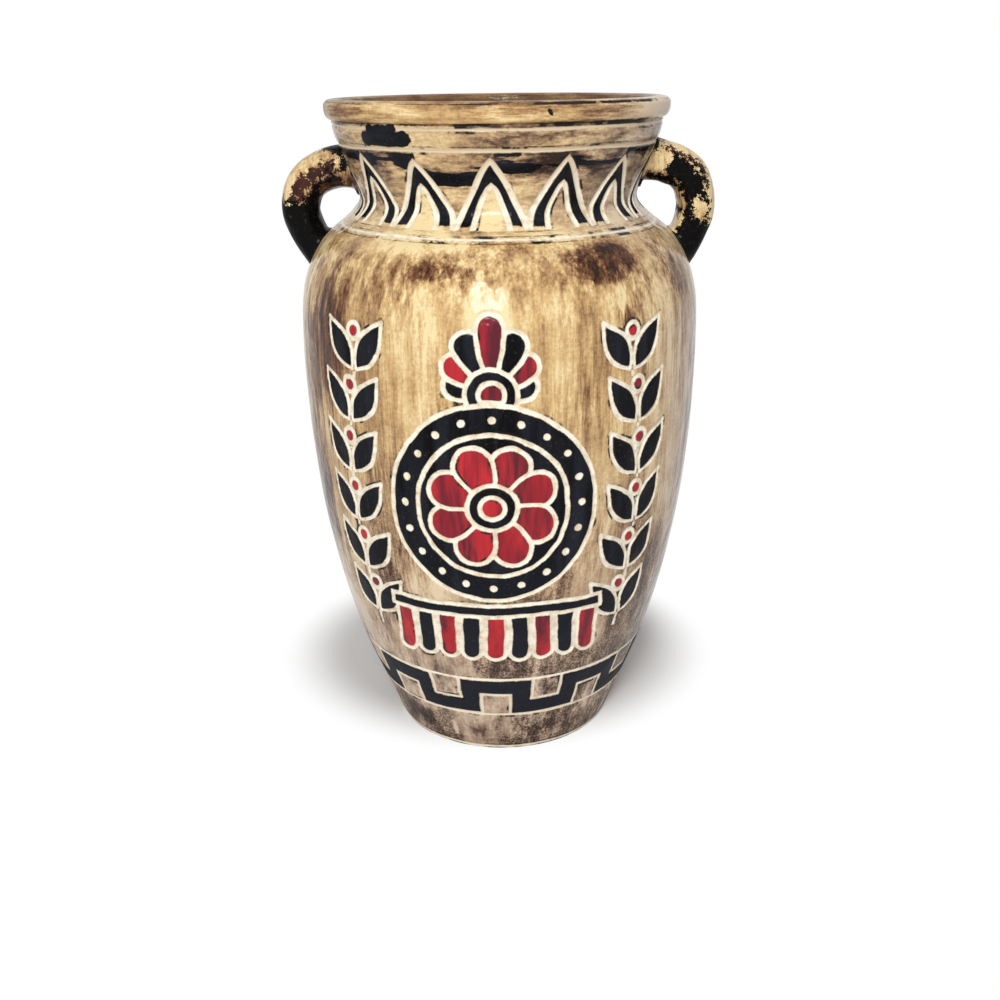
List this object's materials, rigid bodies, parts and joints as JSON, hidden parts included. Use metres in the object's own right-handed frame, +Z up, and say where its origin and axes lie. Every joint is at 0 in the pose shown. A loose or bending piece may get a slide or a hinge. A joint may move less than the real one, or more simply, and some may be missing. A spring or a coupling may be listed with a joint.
{
  "type": "pottery vase",
  "caption": "Shouldered pottery jar with a short flared neck, a rolled lip and two small lug handles, with incised bands of arches and key pattern.",
  "frame": {"origin": "middle of the foot, on the surface that the vase stands on", "axes": "+Z up along the vase's axis, front towards -Y, the handles reach out along -X and +X"},
  "size_m": [0.1988, 0.184, 0.3],
  "materials": {
    "floor_clay": "bare fired clay with a thin brown wash",
    "foot_glaze": "grey-brown wash under clear glaze, with a black key band",
    "belly_glaze": "golden tan wash with dark brush strokes under clear gloss glaze",
    "shoulder_glaze": "golden tan wash with dark blotches under clear gloss glaze",
    "neck_glaze": "golden tan wash with black glazed arches and cream incised lines",
    "lip_glaze": "golden tan wash under clear gloss glaze",
    "left_handle_glaze": "mottled maroon-brown and black gloss glaze over cream clay",
    "right_handle_glaze": "mottled maroon-brown and black gloss glaze over cream clay"
  },
  "bodies": {
    "root": {"floor_disc": "floor_clay", "foot_wall": "foot_glaze", "belly_wall": "belly_glaze", "shoulder_wall": "shoulder_glaze", "neck_collar": "neck_glaze", "lip_ring": "lip_glaze", "left_handle": "left_handle_glaze", "right_handle": "right_handle_glaze"}
  },
  "joints": []
}
